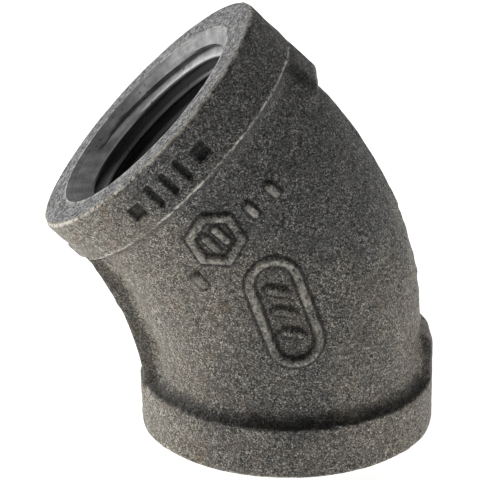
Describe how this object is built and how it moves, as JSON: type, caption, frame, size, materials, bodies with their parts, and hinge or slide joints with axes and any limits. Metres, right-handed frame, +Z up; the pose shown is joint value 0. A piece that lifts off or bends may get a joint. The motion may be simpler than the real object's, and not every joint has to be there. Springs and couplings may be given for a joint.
{
  "type": "pipe elbow",
  "caption": "Short 45 degree pipe elbow in rough black cast iron, with a banded, internally threaded socket at each end, a web inside the bend and lugs outside it.",
  "frame": {"origin": "centre of the lower mouth, on the plane of its face, which the elbow stands on", "axes": "+Z runs up the lower socket, and the bend leans 45 degrees towards -X, so that the elbow's own plane is XZ"},
  "size_m": [0.0494, 0.037, 0.0554],
  "materials": {
    "cast_iron": "rough black as-cast skin, with bare machined metal in the sockets"
  },
  "bodies": {
    "root": {"elbow_casting": "cast_iron"}
  },
  "joints": []
}
